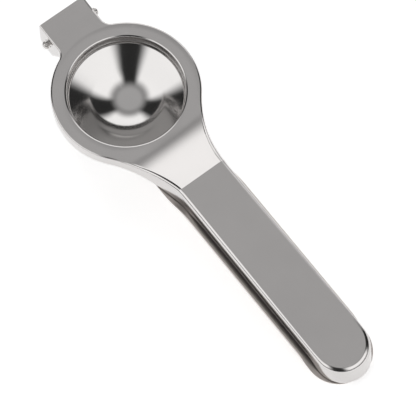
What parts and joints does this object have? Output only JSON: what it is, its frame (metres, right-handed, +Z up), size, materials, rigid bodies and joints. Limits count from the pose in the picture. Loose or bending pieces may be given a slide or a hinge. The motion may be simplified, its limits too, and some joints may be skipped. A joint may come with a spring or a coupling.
{
  "type": "hand-held citrus squeezer",
  "caption": "Hinged hand press of polished steel sheet: a press cup on the upper jaw closes into a perforated strainer cup on the lower jaw, with long flat handles.",
  "frame": {"origin": "middle of the footprint, on the surface that the closed squeezer rests on, resting on its strainer cup and the tip of its lower handle", "axes": "+X from the hinge towards the ends of the handles, +Y across the tool, +Z up; the hinge pin runs along Y"},
  "size_m": [0.2106, 0.066, 0.0384],
  "materials": {
    "upper_jaw": "mirror-polished stainless steel with fine wiping marks",
    "press_cup": "mirror-polished stainless steel with fine turned rings",
    "lower_jaw": "polished stainless steel",
    "strainer_cup": "polished stainless steel, punched with drain holes",
    "hinge_pin": "turned stainless steel with domed ends"
  },
  "bodies": {
    "lower_half": {"lower_jaw": "lower_jaw", "strainer_cup": "strainer_cup", "hinge_pin": "hinge_pin"},
    "upper_half": {"upper_jaw": "upper_jaw", "press_cup": "press_cup"}
  },
  "joints": [
    {"name": "jaw_hinge", "type": "hinge", "parent": "lower_half", "child": "upper_half", "pos_m": [-0.09827, 0, 0.03012], "axis": [0, -1, 0], "range_deg": [0, 120]}
  ]
}
